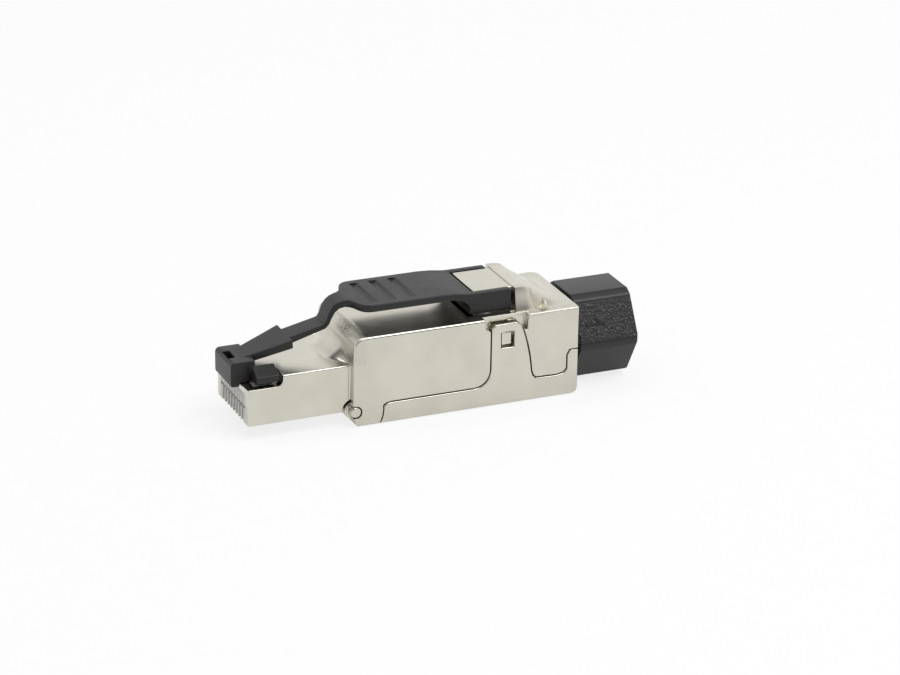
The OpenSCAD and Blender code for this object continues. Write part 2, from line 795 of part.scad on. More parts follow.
upper_housing();
lower_housing();
latch_lever();
gland_nut();
contact_carrier();
contact_1();
contact_2();
contact_3();
contact_4();
contact_5();
contact_6();
contact_7();
contact_8();
circuit_board();
terminal_block();
terminal_1();
terminal_2();
terminal_3();
terminal_4();
terminal_5();
terminal_6();
terminal_7();
terminal_8();
wire_manager();
shield_spring();
clamp_collet();
sealing_ring();
slip_ring();
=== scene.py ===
import bpy
import bmesh
import math
from mathutils import Matrix, Vector
from mathutils.bvhtree import BVHTree
from mathutils.kdtree import KDTree


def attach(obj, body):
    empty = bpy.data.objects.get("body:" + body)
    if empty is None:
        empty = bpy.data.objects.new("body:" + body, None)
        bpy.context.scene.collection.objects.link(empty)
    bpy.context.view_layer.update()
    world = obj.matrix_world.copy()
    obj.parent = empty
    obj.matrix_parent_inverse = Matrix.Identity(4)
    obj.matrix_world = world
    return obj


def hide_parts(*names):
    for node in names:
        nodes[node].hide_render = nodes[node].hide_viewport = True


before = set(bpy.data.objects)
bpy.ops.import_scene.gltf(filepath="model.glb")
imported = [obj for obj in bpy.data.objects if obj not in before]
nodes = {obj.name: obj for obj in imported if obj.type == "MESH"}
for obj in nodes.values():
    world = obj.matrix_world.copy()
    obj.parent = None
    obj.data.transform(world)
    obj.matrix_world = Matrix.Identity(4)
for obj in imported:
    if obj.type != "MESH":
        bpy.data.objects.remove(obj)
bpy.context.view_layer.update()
scene = bpy.context.scene

MM = 0.001
MID = 26.78          # from the nose front to the middle of the plug, in mm
GLAND_Z = 6.435      # height of the gland axis, in mm
RIB_PITCH = 0.508    # fine ribs on the face of the contact carrier, in mm
RIB_COUNT = 17


def at(x, y, z):
    """A point given in mm from the nose front, as a place in the frame."""
    return Vector(((x - MID) * MM, y * MM, z * MM))


def linked(name, mesh):
    """A new object of the scene that shows the mesh."""
    piece = bpy.data.objects.new(name, mesh)
    scene.collection.objects.link(piece)
    return piece


def baked(piece):
    """Puts what the modifiers make into the mesh of the piece, and takes them off."""
    graph = bpy.context.evaluated_depsgraph_get()
    mesh = bpy.data.meshes.new_from_object(piece.evaluated_get(graph))
    piece.modifiers.clear()
    piece.data = mesh
    return mesh


def faced_outwards(mesh, smooth):
    """Merges doubles, turns the faces outwards and smooths all but the edges sharper than this many degrees."""
    bm = bmesh.new()
    bm.from_mesh(mesh)
    bmesh.ops.remove_doubles(bm, verts=bm.verts, dist=1e-8)
    bmesh.ops.recalc_face_normals(bm, faces=bm.faces)
    bm.to_mesh(mesh)
    bm.free()
    mesh.shade_smooth()
    mesh.set_sharp_from_angle(angle=math.radians(smooth))


# ---------------------------------------------------------------- camera
PHOTO_WIDTH = 900        # pixels
FOCAL_LENGTH = 3285.2    # pixels, as fitted to the photograph
SENSOR = 36              # mm


def set_camera():
    """The viewpoint of the photograph."""
    az, el, roll = math.radians(-23.547), math.radians(22.257), math.radians(0.921)
    target, distance = at(30.42, 0, 7.59), 433.3 * MM
    back = Vector((math.sin(az) * math.cos(el), -math.cos(az) * math.cos(el), math.sin(el)))
    right = Vector((math.cos(az), math.sin(az), 0))
    up = back.cross(right)
    r = math.cos(roll) * right + math.sin(roll) * up
    u = -math.sin(roll) * right + math.cos(roll) * up
    data = bpy.data.cameras.new("photo_camera")
    data.sensor_width = SENSOR
    data.lens = FOCAL_LENGTH / PHOTO_WIDTH * SENSOR
    data.clip_start, data.clip_end = 0.01, 20
    cam = linked("photo_camera", data)
    pos = target + back * distance
    cam.matrix_world = Matrix(((r.x, u.x, back.x, pos.x), (r.y, u.y, back.y, pos.y), (r.z, u.z, back.z, pos.z),
                               (0, 0, 0, 1)))
    scene.camera = cam


# ---------------------------------------------------------------- node helpers
class Net:
    """A small helper that adds and wires material nodes."""

    def __init__(self, name):
        self.mat = bpy.data.materials.new(name)
        self.mat.use_nodes = True
        self.tree = self.mat.node_tree
        self.shader = self.tree.nodes["Principled BSDF"]
        self.coord = self.add("ShaderNodeTexCoord").outputs["Object"]

    def add(self, kind, **props):
        node = self.tree.nodes.new(kind)
        for key, value in props.items():
            setattr(node, key, value)
        return node

    def join(self, a, b):
        self.tree.links.new(a, b)

    def noise(self, scale, detail=3.0, rough=0.5, stretch=None):
        tex = self.add("ShaderNodeTexNoise")
        tex.inputs["Scale"].default_value = scale
        tex.inputs["Detail"].default_value = detail
        tex.inputs["Roughness"].default_value = rough
        if stretch:
            mapping = self.add("ShaderNodeMapping")
            mapping.inputs["Scale"].default_value = stretch
            self.join(self.coord, mapping.inputs["Vector"])
            self.join(mapping.outputs["Vector"], tex.inputs["Vector"])
        else:
            self.join(self.coord, tex.inputs["Vector"])
        return tex.outputs["Fac"]

    def ramp(self, value, low, high, out_low=0.0, out_high=1.0):
        node = self.add("ShaderNodeMapRange")
        node.inputs["From Min"].default_value = low
        node.inputs["From Max"].default_value = high
        node.inputs["To Min"].default_value = out_low
        node.inputs["To Max"].default_value = out_high
        self.join(value, node.inputs["Value"])
        return node.outputs["Result"]

    def maths(self, op, a, b):
        node = self.add("ShaderNodeMath", operation=op)
        for socket, value in zip(node.inputs, (a, b)):
            if hasattr(value, "links"):
                self.join(value, socket)
            else:
                socket.default_value = value
        return node.outputs["Value"]

    def blend(self, fac, a, b):
        node = self.add("ShaderNodeMix", data_type="RGBA")
        self.join(fac, node.inputs["Factor"])
        for socket, value in ((node.inputs[6], a), (node.inputs[7], b)):
            if hasattr(value, "links"):
                self.join(value, socket)
            else:
                socket.default_value = (*value, 1)
        return node.outputs[2]

    def bump(self, height, depth, strength=1.0, under=None):
        node = self.add("ShaderNodeBump")
        node.inputs["Strength"].default_value = strength
        node.inputs["Distance"].default_value = depth
        self.join(height, node.inputs["Height"])
        if under:
            self.join(under, node.inputs["Normal"])
        return node.outputs["Normal"]

    def finish(self, color=None, rough=None, normal=None, **fixed):
        for key, value in fixed.items():
            self.shader.inputs[key.replace("_", " ")].default_value = value
        if color is not None:
            self.join(color, self.shader.inputs["Base Color"])
        if rough is not None:
            self.join(rough, self.shader.inputs["Roughness"])
        if normal is not None:
            self.join(normal, self.shader.inputs["Normal"])
        return self.mat


# ---------------------------------------------------------------- finishes
def nickel_plating():
    """Satin nickel on die cast zinc: faint clouds, fine grain, small pits and a coarser front crest."""
    n = Net("nickel_plating")
    cloud = n.noise(240, 3)
    grain = n.noise(5200, 2)
    pits = n.noise(1500, 2, 0.6)
    cast = n.noise(2600, 2, 0.6)
    split = n.add("ShaderNodeSeparateXYZ")
    n.join(n.coord, split.inputs["Vector"])
    x, z = split.outputs["X"], split.outputs["Z"]
    crest = n.maths("MULTIPLY", n.ramp(x, -0.01285, -0.01265), n.ramp(x, -0.01150, -0.01060, 1, 0))
    across = n.maths("ABSOLUTE", split.outputs["Y"], 0)
    crest = n.maths("MULTIPLY", crest, n.ramp(z, 0.0104, 0.0111))
    crest = n.maths("MULTIPLY", crest, n.ramp(across, 0.0046, 0.0060, 1, 0))
    hollow = n.maths("MULTIPLY", n.ramp(x, 0.0100, 0.0106), n.ramp(x, 0.0150, 0.0165, 1, 0))
    hollow = n.maths("MULTIPLY", hollow, n.maths("MULTIPLY", n.ramp(across, 0.0034, 0.0042), n.ramp(z, 0.0117, 0.0119)))
    sweep = n.maths("MULTIPLY", n.ramp(x, -0.0112, -0.0108, 1, 0), n.ramp(z, 0.00842, 0.0088))
    tint = n.blend(n.ramp(cloud, 0.35, 0.65), (0.610, 0.585, 0.510), (0.660, 0.635, 0.555))
    rough = n.ramp(n.maths("ADD", n.maths("MULTIPLY", cloud, 0.6), n.maths("MULTIPLY", grain, 0.4)), 0.35, 0.65, 0.17,
                   0.24)
    rough = n.maths("ADD", rough, n.maths("MULTIPLY", sweep, 0.17))
    rough = n.maths("ADD", rough, n.maths("MULTIPLY", hollow, 0.16))
    fine = n.bump(grain, 0.000004, 0.4)
    dents = n.bump(n.ramp(pits, 0.30, 0.36), 0.000004, 0.5, fine)
    rugged = n.bump(n.maths("MULTIPLY", cast, crest), 0.00014, 1.0, dents)
    return n.finish(tint, rough, n.bump(cloud, 0.00003, 0.2, rugged), Metallic=1.0)


def lever_plastic():
    """Moulded black plastic with a fine satin grain."""
    n = Net("lever_plastic")
    cloud = n.noise(420, 3)
    grain = n.noise(5200, 3)
    tint = n.blend(n.ramp(cloud, 0.3, 0.7), (0.0105, 0.0098, 0.0092), (0.0150, 0.0140, 0.0130))
    rough = n.ramp(n.maths("ADD", n.maths("MULTIPLY", cloud, 0.5), n.maths("MULTIPLY", grain, 0.5)), 0.35, 0.65, 0.34,
                   0.46)
    return n.finish(tint, rough, n.bump(cloud, 0.00003, 0.25, n.bump(grain, 0.000010, 0.5)), Specular_IOR_Level=0.42)


def nut_plastic():
    """Black plastic, smooth on the level flats and spark textured on the slanting ones, with lighter specks painted on
    the textured flats as glints.
    """
    n = Net("nut_plastic")
    grain = n.noise(5200, 2)
    spark = n.noise(4200, 2, 0.75)
    cell = n.add("ShaderNodeTexVoronoi", feature="F1")
    cell.inputs["Scale"].default_value = 3300
    n.join(n.coord, cell.inputs["Vector"])
    split = n.add("ShaderNodeSeparateXYZ")
    n.join(n.coord, split.inputs["Vector"])
    side = n.maths("ABSOLUTE", split.outputs["Y"], 0)
    area = n.maths("MULTIPLY", n.ramp(side, 0.00396, 0.00404), n.ramp(split.outputs["Z"], 0.00675, 0.00690))
    pattern = n.maths("ADD", n.maths("MULTIPLY", spark, 0.7), n.maths("MULTIPLY", cell.outputs["Distance"], 0.6))
    height = n.maths("MULTIPLY", pattern, area)
    # painted glints: lighter specks in the colour of the textured flats, standing in for the sparkle of the texture
    painted_glint_specks = n.maths("MULTIPLY", n.ramp(spark, 0.56, 0.70), area)
    plain = n.blend(n.ramp(grain, 0.3, 0.7), (0.0105, 0.0098, 0.0096), (0.0150, 0.0138, 0.0134))
    tint = n.blend(painted_glint_specks, plain, (0.150, 0.142, 0.155))
    rough = n.ramp(spark, 0.3, 0.7, 0.30, 0.42)
    return n.finish(tint, rough, n.bump(height, 0.00016, 0.9, n.bump(grain, 0.000008, 0.4)), Specular_IOR_Level=0.42)


def plain_plastic(name, low, high, rough_low, rough_high, scale=2600):
    n = Net(name)
    grain = n.noise(scale, 3)
    return n.finish(n.blend(n.ramp(grain, 0.3, 0.7), low, high), n.ramp(grain, 0.3, 0.7, rough_low, rough_high),
                    n.bump(grain, 0.00001, 0.4))


def contact_gold():
    n = Net("contact_gold")
    cloud = n.noise(900, 3)
    return n.finish(n.blend(n.ramp(cloud, 0.3, 0.7), (0.75, 0.52, 0.2), (0.83, 0.62, 0.28)),
                    n.ramp(cloud, 0.3, 0.7, 0.18, 0.32), n.bump(cloud, 0.000006, 0.4), Metallic=1.0)


def bright_steel():
    n = Net("bright_steel")
    lines = n.noise(900, 3, 0.5, (0.15, 4.0, 4.0))
    return n.finish(n.blend(n.ramp(lines, 0.3, 0.7), (0.55, 0.55, 0.53), (0.64, 0.64, 0.62)),
                    n.ramp(lines, 0.3, 0.7, 0.25, 0.4), n.bump(lines, 0.000005, 0.4), Metallic=1.0)


# ---------------------------------------------------------------- pieces
def merged_copy(node, name):
    """A copy of a CAD mesh with its doubles merged and its flat faces joined."""
    mesh = nodes[node].data.copy()
    mesh.name = name
    bm = bmesh.new()
    bm.from_mesh(mesh)
    bmesh.ops.remove_doubles(bm, verts=bm.verts, dist=2e-7)
    bmesh.ops.dissolve_limit(bm, angle_limit=math.radians(0.3), verts=bm.verts, edges=bm.edges)
    bm.to_mesh(mesh)
    bm.free()
    return linked(name, mesh)


def settle(piece, smooth=38):
    """Turns a piece with its modifiers into a plain mesh, smooth but for its sharp edges."""
    mesh = baked(piece)
    mesh.shade_smooth()
    mesh.set_sharp_from_angle(angle=math.radians(smooth))
    steady = piece.modifiers.new("flat_faces_stay_flat", "WEIGHTED_NORMAL")
    steady.weight = 90
    steady.keep_sharp = True
    baked(piece)
    return piece


NECK_SHARE = 0.42    # how much of the room between two edges an easing may take


def edge_weights(piece, widest, width_of):
    """Gives each sharp edge the share of the widest easing that its neighbours leave room for."""
    bm = bmesh.new()
    bm.from_mesh(piece.data)
    layer = bm.edges.layers.float.get("bevel_weight_edge") or bm.edges.layers.float.new("bevel_weight_edge")
    sharp = [e for e in bm.edges if len(e.link_faces) == 2 and e.calc_face_angle() > math.radians(30)]
    marks = []
    for number, edge in enumerate(sharp):
        a, b = (v.co for v in edge.verts)
        steps = max(2, min(40, int((b - a).length / (0.2 * MM)) + 1))
        marks += [(a.lerp(b, i / steps), number) for i in range(steps + 1)]
    tree = KDTree(len(marks))
    for i, mark in enumerate(marks):
        tree.insert(mark[0], i)
    tree.balance()
    shares = {}
    for number, edge in enumerate(sharp):
        a, b = (v.co for v in edge.verts)
        run = (b - a).normalized()
        wanted = width_of((a + b) / 2 / MM + Vector((MID, 0, 0)), (b - a).length / MM)
        room = wanted * MM / NECK_SHARE
        for share in (0.08, 0.5, 0.92):
            spot = a.lerp(b, share)
            for place, index, gap in tree.find_range(spot, room):
                other = sharp[marks[index][1]]
                if other is edge or gap < 1e-7 or set(other.verts) & set(edge.verts):
                    continue
                if abs((place - spot).dot(run)) < 0.75 * gap:
                    room = min(room, gap)
        shares[edge] = max(0.06, min(1.0, NECK_SHARE * room / (widest * MM)))
    # edges that run on into each other without a corner take one width
    chain = {edge: edge for edge in sharp}

    def root(edge):
        while chain[edge] is not edge:
            edge = chain[edge]
        return edge

    for v in bm.verts:
        meeting = [e for e in v.link_edges if e in shares]
        if len(meeting) == 2:
            a, b = (e.other_vert(v).co - v.co for e in meeting)
            if a.angle(-b, 3.0) < math.radians(40):
                chain[root(meeting[0])] = root(meeting[1])
    least = {}
    for edge in sharp:
        least[root(edge)] = min(least.get(root(edge), 1.0), shares[edge])
    for edge in sharp:
        edge[layer] = least[root(edge)]
    bm.to_mesh(piece.data)
    bm.free()


def pull_in(piece, before, reach):
    """Brings points that the easing threw off the old surface back onto it."""
    tree = BVHTree.FromPolygons(*before)
    for v in piece.data.vertices:
        near, normal, face, gap = tree.find_nearest(v.co)
        if gap > reach * MM:
            v.co = near


def eased(piece, widest, width_of, steps=3):
    """Eases the sharp edges of a piece, each by its own width."""
    edge_weights(piece, widest, width_of)
    piece.data.calc_loop_triangles()
    before = ([v.co.copy() for v in piece.data.vertices], [tuple(t.vertices) for t in piece.data.loop_triangles])
    bevel = piece.modifiers.new("eased_edges", "BEVEL")
    bevel.width = widest * MM
    bevel.segments = steps
    bevel.limit_method = "WEIGHT"
    bevel.use_clamp_overlap = False
    bevel.loop_slide = False
    bevel.miter_outer = "MITER_ARC"
    baked(piece)
    pull_in(piece, before, 0.3 * widest + 0.02)
    return settle(piece)


def put_on(piece, finish, body, slot, *stands_for):
    """Gives a finished piece its finish and its body, and hides the solids that it stands for."""
    piece.data.materials.clear()
    piece.data.materials.append(finish)
    if stands_for:
        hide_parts(*stands_for)
    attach(piece, body)
    return piece


def closed_sheet(name, top, under, smooth=38):
    """A closed thin body between two grids of points of the same size."""
    rows, cols = len(top), len(top[0])
    points = [p for row in top for p in row] + [p for row in under for p in row]
    half = rows * cols
    faces = []
    for i in range(rows - 1):
        for j in range(cols - 1):
            quad = (i * cols + j, i * cols + j + 1, (i + 1) * cols + j + 1, (i + 1) * cols + j)
            faces.append(quad)
            faces.append(tuple(half + k for k in reversed(quad)))
    rim = [(0, j) for j in range(cols)] + [(i, cols - 1) for i in range(1, rows)]
    rim += [(rows - 1, j) for j in range(cols - 2, -1, -1)] + [(i, 0) for i in range(rows - 2, 0, -1)]
    for a, b in zip(rim, rim[1:] + rim[:1]):
        i, j = a[0] * cols + a[1], b[0] * cols + b[1]
        faces.append((j, i, half + i, half + j))
    mesh = bpy.data.meshes.new(name)
    mesh.from_pydata(points, [], faces)
    faced_outwards(mesh, smooth)
    return linked(name, mesh)


def curve_through(points):
    """A smooth function through (place, value) points."""
    def value(t):
        if t <= points[0][0]:
            return points[0][1]
        for k in range(len(points) - 1):
            (x0, y0), (x1, y1) = points[k], points[k + 1]
            if t <= x1:
                before = points[max(0, k - 1)]
                after = points[min(len(points) - 1, k + 2)]
                m0 = (y1 - before[1]) / (x1 - before[0])
                m1 = (after[1] - y0) / (after[0] - x0)
                h = x1 - x0
                u = (t - x0) / h
                return ((2 * u ** 3 - 3 * u * u + 1) * y0 + (u ** 3 - 2 * u * u + u) * h * m0
                        + (3 * u * u - 2 * u ** 3) * y1 + (u ** 3 - u * u) * h * m1)
        return points[-1][1]
    return value


def soft_step(low, high, t):
    t = max(0.0, min(1.0, (t - low) / (high - low)))
    return t * t * (3 - 2 * t)


# ---------------------------------------------------------------- upper housing
def housing_edge_width(p, length):
    if (p.z > 10.8 and (abs(p.y) > 6.4 or p.x > 45.3)) or (p.x < 15.6 and abs(p.y) > 6.9):
        return 0.32
    if p.x < 14.1 and abs(p.y) > 5.7:
        return 0.2
    if p.z > 12.3:
        return 0.12
    return 0.15 if abs(p.y) > 6.9 else 0.09


# corners of the scoop in the solid, and where the hollow of the hump form has its rim
SCOOP_RIM = [((39.4, 5.45), (39.6, 5.96)), ((40.5, 5.05), (40.6, 5.78)), ((41.4, 4.6), (41.4, 5.38)),
             ((42.1, 4.2), (42.1, 4.9)), ((42.55, 3.75), (42.8, 4.3))]


def housing_shell():
    shell = merged_copy("upper_housing", "upper_housing_shell")
    bm = bmesh.new()
    bm.from_mesh(shell.data)
    for v in bm.verts:
        x, y, z = v.co.x / MM + MID, v.co.y / MM, v.co.z / MM
        if x > 37.6 and z > 12.4 and abs(y) < 5.2:
            z = 12.36 + (z - 12.36) * 0.8
            y *= 0.9
        elif abs(x - 37.5) < 0.05 and z > 15.21 and abs(y) < 5:
            z, y = 15.18, y * 0.95
        elif 38.5 < x < 43 and 3.6 < abs(y) < 5.7 and 11.8 < z < 12.4:
            for old, new in SCOOP_RIM:
                if math.hypot(x - old[0], abs(y) - old[1]) < 0.03:
                    x, y = new[0], math.copysign(new[1], y)
                    break
        elif 11.6 < x < 14.05 and abs(abs(y) - 4.64) < 0.02 and 8.35 < z < 10.65:
            y *= 2.3 / 4.64
        v.co = at(x, y, z)
    bm.to_mesh(shell.data)
    bm.free()
    eased(shell, 0.32, housing_edge_width)
    return put_on(shell, nickel, "housing", "zinc", "upper_housing")


BODY_TOP = 12.372       # just over the flat top of the solid
HOLLOW_FLOOR = 11.9
LIP_RISE, LIP_WIDTH = 0.47, 0.62
BOWL_POWER = 2.4
RIM_BLEND = 0.3


def hump_form():
    """The ramp behind the lever, with a spoon shaped hollow on each side."""
    crown = curve_through([(37.4, 15.36), (38.4, 15.33), (39.4, 15.2), (40.2, 14.9), (41.4, 14.2), (42.4, 13.45),
                           (43.4, 12.86), (44.4, 12.5), (45.3, BODY_TOP)])
    # middle line of the hollow: place along, place across, half width and height of its rim
    bends = [(36.6, 5.78, 1.00, 3.4), (38.6, 5.78, 1.00, 3.3), (39.6, 5.66, 0.98, 2.8), (40.4, 5.36, 1.00, 2.1),
             (41.0, 4.95, 1.05, 1.5), (41.4, 4.5, 1.15, 1.0)]
    knots = list(range(len(bends)))
    lines = [curve_through([(k, bend[part]) for k, bend in zip(knots, bends)]) for part in range(4)]
    spine = [tuple(line(k / 10) for line in lines) for k in range(10 * len(bends) - 9)]

    def hollow(x, y):
        best = (9.0, 1.0, 3.4, -1.0)
        for (x0, y0, w0, h0), (x1, y1, w1, h1) in zip(spine, spine[1:]):
            dx, dy = x1 - x0, y1 - y0
            t = max(0.0, min(1.0, ((x - x0) * dx + (y - y0) * dy) / (dx * dx + dy * dy)))
            gap = math.hypot(x - x0 - t * dx, y - y0 - t * dy)
            if gap < best[0]:
                turn = (dx * (y - y0) - dy * (x - x0)) / max(math.hypot(dx, dy) * gap, 1e-9)
                best = (gap, w0 + (w1 - w0) * t, h0 + (h1 - h0) * t, turn)
        gap, wide, tall, turn = best
        outer = soft_step(-0.6, 0.6, turn)
        inner_rise = tall * (gap / wide) ** BOWL_POWER
        outer_rise = LIP_RISE * (gap / LIP_WIDTH) ** BOWL_POWER
        return HOLLOW_FLOOR + inner_rise * (1 - outer) + outer_rise * outer

    def height(x, y):
        ramp = BODY_TOP + (crown(x) - BODY_TOP) * (1 - soft_step(1.2, 5.6, y) * soft_step(39.4, 42.0, x))
        cut = hollow(x, y)
        blend = max(0.0, min(1.0, 0.5 + 0.5 * (cut - ramp) / RIM_BLEND))
        return cut * (1 - blend) + ramp * blend - RIM_BLEND * blend * (1 - blend)

    top, under = [], []
    for i in range(79):
        x = 37.49 + 0.1 * i
        row = [(-6.02 + 12.04 * j / 120, height(x, abs(-6.02 + 12.04 * j / 120))) for j in range(121)]
        top.append([at(x, y, z) for y, z in row])
        under.append([at(x, y * 0.98, 11.5) for y, z in row])
    form = closed_sheet("hump_form", top, under, 60)
    return put_on(form, nickel, "housing", "zinc")


def shoulder_sweep():
    """The hollow sweep from the top of the nose up to the front of the body."""
    top, under = [], []
    for i in range(65):
        y = -5.66 + 11.32 * i / 64
        r = 0.16 + 2.24 * (1 - soft_step(2.2, 5.9, abs(y)))
        row = []
        for k in range(19):
            a = (k / 18) * math.pi / 2
            row.append((14 - r + r * math.sin(a) - 0.012, 8.4 + r - r * math.cos(a) + 0.012))
        top.append([at(px, y, pz) for px, pz in row])
        under.append([at(px + 0.25, y, pz - 0.25) for px, pz in row])
    form = closed_sheet("shoulder_sweep", top, under, 50)
    return put_on(form, nickel, "housing", "zinc")


# ---------------------------------------------------------------- hinged cover
def cover_edge_width(p, length):
    if abs(p.y) > 6.9 and p.z < 1.0 and length > 1:
        return 0.2
    return 0.15 if abs(p.y) > 6.9 else 0.09


def hinged_cover():
    cover = merged_copy("lower_housing", "hinged_cover")
    for v in cover.data.vertices:
        x, y, z = v.co.x / MM + MID - 14.35, v.co.y / MM, v.co.z / MM - 2.1
        if abs(y) > 6.05 and abs(math.hypot(x, z) - 0.8) < 0.02:
            v.co = at(14.35 + x * 0.9, y, 2.1 + z * 0.9)
    eased(cover, 0.2, cover_edge_width)
    return put_on(cover, nickel, "cover", "zinc", "lower_housing")


# ---------------------------------------------------------------- lever and nut
def lever_arm():
    lever = merged_copy("latch_lever", "lever_arm")
    eased(lever, 0.2, lambda p, length: 0.2 if p.x > 11 else 0.13)
    return put_on(lever, black, "latch", "black_plastic", "latch_lever")


def gland_hexagon():
    nut = merged_copy("gland_nut", "gland_hexagon")
    eased(nut, 0.5, lambda p, length: (0.2 if p.z > 9 else 0.5) if length > 6.5 and p.x > 47 else 0.15)
    return put_on(nut, nut_black, "nut", "black_plastic", "gland_nut")


def facet_point(x, t, proud):
    """A point on the near upper flat of the nut, t mm up its slope."""
    return at(x, -6.842 + 0.5 * t - 0.866 * proud, GLAND_Z + 0.866 * t + 0.5 * proud)


def turning_mark():
    """A plain half arrow on the nut, raised and in a darker black: painted shade in place of a moulded sunken groove.
    """
    bm = bmesh.new()
    for a, b in (((47.75, 2.75), (50.3, 2.75)), ((49.15, 3.5), (49.85, 2.85))):
        along = Vector((b[0] - a[0], b[1] - a[1])).normalized()
        across = Vector((-along.y, along.x)) * 0.15
        a, b = Vector(a) - along * 0.08, Vector(b) + along * 0.08
        ring = []
        for proud, inset in ((-0.08, 1.0), (0.08, 1.0), (0.12, 0.6)):
            for end in (a - across * inset, b - across * inset, b + across * inset, a + across * inset):
                ring.append(bm.verts.new(facet_point(end.x, end.y, proud)))
        bm.faces.new(ring[0:4])
        bm.faces.new(ring[8:12])
        for low in (0, 4):
            for k in range(4):
                m = (k + 1) % 4
                bm.faces.new((ring[low + k], ring[low + m], ring[low + 4 + m], ring[low + 4 + k]))
    bmesh.ops.recalc_face_normals(bm, faces=bm.faces)
    mesh = bpy.data.meshes.new("turning_mark")
    bm.to_mesh(mesh)
    bm.free()
    return put_on(linked("turning_mark", mesh), painted_groove_shade, "nut", "black_plastic")


def new_tree(name, sizes, **counts):
    """A node tree with named inputs for its sizes and counts, and its group input and output nodes."""
    tree = bpy.data.node_groups.new(name, "GeometryNodeTree")
    for kind, values in (("NodeSocketFloat", sizes), ("NodeSocketInt", counts)):
        for label, value in values.items():
            socket = tree.interface.new_socket(label, in_out="INPUT", socket_type=kind)
            socket.default_value = value
    tree.interface.new_socket("Geometry", in_out="OUTPUT", socket_type="NodeSocketGeometry")
    return tree, tree.nodes.new("NodeGroupInput"), tree.nodes.new("NodeGroupOutput")


def end_tree(tree, out, geometry, finish):
    """Ends a tree: instances made real, finish set."""
    real = tree.nodes.new("GeometryNodeRealizeInstances")
    paint = tree.nodes.new("GeometryNodeSetMaterial")
    paint.inputs["Material"].default_value = finish
    tree.links.new(geometry, real.inputs["Geometry"])
    tree.links.new(real.outputs["Geometry"], paint.inputs["Geometry"])
    tree.links.new(paint.outputs["Geometry"], out.inputs["Geometry"])
    return tree


def thread_tree(finish):
    """Geometry Nodes that wind a thread ridge round the collar."""
    tree, given, out = new_tree("collar_thread", {
        "Root radius": 4.54 * MM, "Pitch": 1.0 * MM, "Turns": 4.6, "Ridge depth": 0.29 * MM,
        "Start": (47.5 - MID) * MM, "Axis height": GLAND_Z * MM})
    spiral = tree.nodes.new("GeometryNodeCurveSpiral")
    spiral.inputs["Resolution"].default_value = 72
    rise = tree.nodes.new("ShaderNodeMath")
    rise.operation = "MULTIPLY"
    profile = tree.nodes.new("GeometryNodeCurvePrimitiveCircle")
    profile.inputs["Resolution"].default_value = 6
    sweep = tree.nodes.new("GeometryNodeCurveToMesh")
    sweep.inputs["Fill Caps"].default_value = True
    lay = tree.nodes.new("GeometryNodeTransform")
    lay.inputs["Rotation"].default_value = (0, math.pi / 2, 0)
    place = tree.nodes.new("ShaderNodeCombineXYZ")
    link = tree.links.new
    link(given.outputs["Root radius"], spiral.inputs["Start Radius"])
    link(given.outputs["Root radius"], spiral.inputs["End Radius"])
    link(given.outputs["Turns"], spiral.inputs["Rotations"])
    link(given.outputs["Pitch"], rise.inputs[0])
    link(given.outputs["Turns"], rise.inputs[1])
    link(rise.outputs[0], spiral.inputs["Height"])
    link(given.outputs["Ridge depth"], profile.inputs["Radius"])
    link(spiral.outputs["Curve"], sweep.inputs["Curve"])
    link(profile.outputs["Curve"], sweep.inputs["Profile Curve"])
    link(given.outputs["Start"], place.inputs["X"])
    link(given.outputs["Axis height"], place.inputs["Z"])
    link(sweep.outputs["Mesh"], lay.inputs["Geometry"])
    link(place.outputs["Vector"], lay.inputs["Translation"])
    return end_tree(tree, out, lay.outputs["Geometry"], finish)


def comb_lines_tree(finish):
    """Geometry Nodes that set a row of fine ribs across the face of the contact carrier."""
    tree, given, out = new_tree("comb_lines", {
        "Pitch": RIB_PITCH * MM, "Rib width": 0.16 * MM, "Rib height": 1.3 * MM, "Rib depth": 0.06 * MM},
        Count=RIB_COUNT)
    row = tree.nodes.new("GeometryNodeMeshLine")
    step = tree.nodes.new("ShaderNodeCombineXYZ")
    size = tree.nodes.new("ShaderNodeCombineXYZ")
    rib = tree.nodes.new("GeometryNodeMeshCube")
    spread = tree.nodes.new("GeometryNodeInstanceOnPoints")
    lay = tree.nodes.new("GeometryNodeTransform")
    lay.inputs["Translation"].default_value = at(0.03, -RIB_PITCH * (RIB_COUNT - 1) / 2, 5.1)
    link = tree.links.new
    link(given.outputs["Count"], row.inputs["Count"])
    link(given.outputs["Pitch"], step.inputs["Y"])
    link(step.outputs["Vector"], row.inputs["Offset"])
    link(given.outputs["Rib depth"], size.inputs["X"])
    link(given.outputs["Rib width"], size.inputs["Y"])
    link(given.outputs["Rib height"], size.inputs["Z"])
    link(size.outputs["Vector"], rib.inputs["Size"])
    link(row.outputs["Mesh"], spread.inputs["Points"])
    link(rib.outputs["Mesh"], spread.inputs["Instance"])
    link(spread.outputs["Instances"], lay.inputs["Geometry"])
    return end_tree(tree, out, lay.outputs["Geometry"], finish)


def grown(name, tree, sizes):
    """The plain mesh that a node tree makes with these inputs, riding on the housing."""
    piece = linked(name, bpy.data.meshes.new(name))
    grow = piece.modifiers.new("grow", "NODES")
    grow.node_group = tree
    for item in tree.interface.items_tree:
        if item.in_out == "INPUT" and item.name in sizes:
            grow[item.identifier] = sizes[item.name]
    faced_outwards(baked(piece), 40)
    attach(piece, "housing")
    return piece


def contact_comb():
    comb = merged_copy("contact_carrier", "contact_comb")
    eased(comb, 0.06, lambda p, length: 0.06, 2)
    return put_on(comb, carrier_grey, "housing", "carrier_plastic", "contact_carrier")


def give_finish(node, finish):
    nodes[node].data.materials.clear()
    nodes[node].data.materials.append(finish)


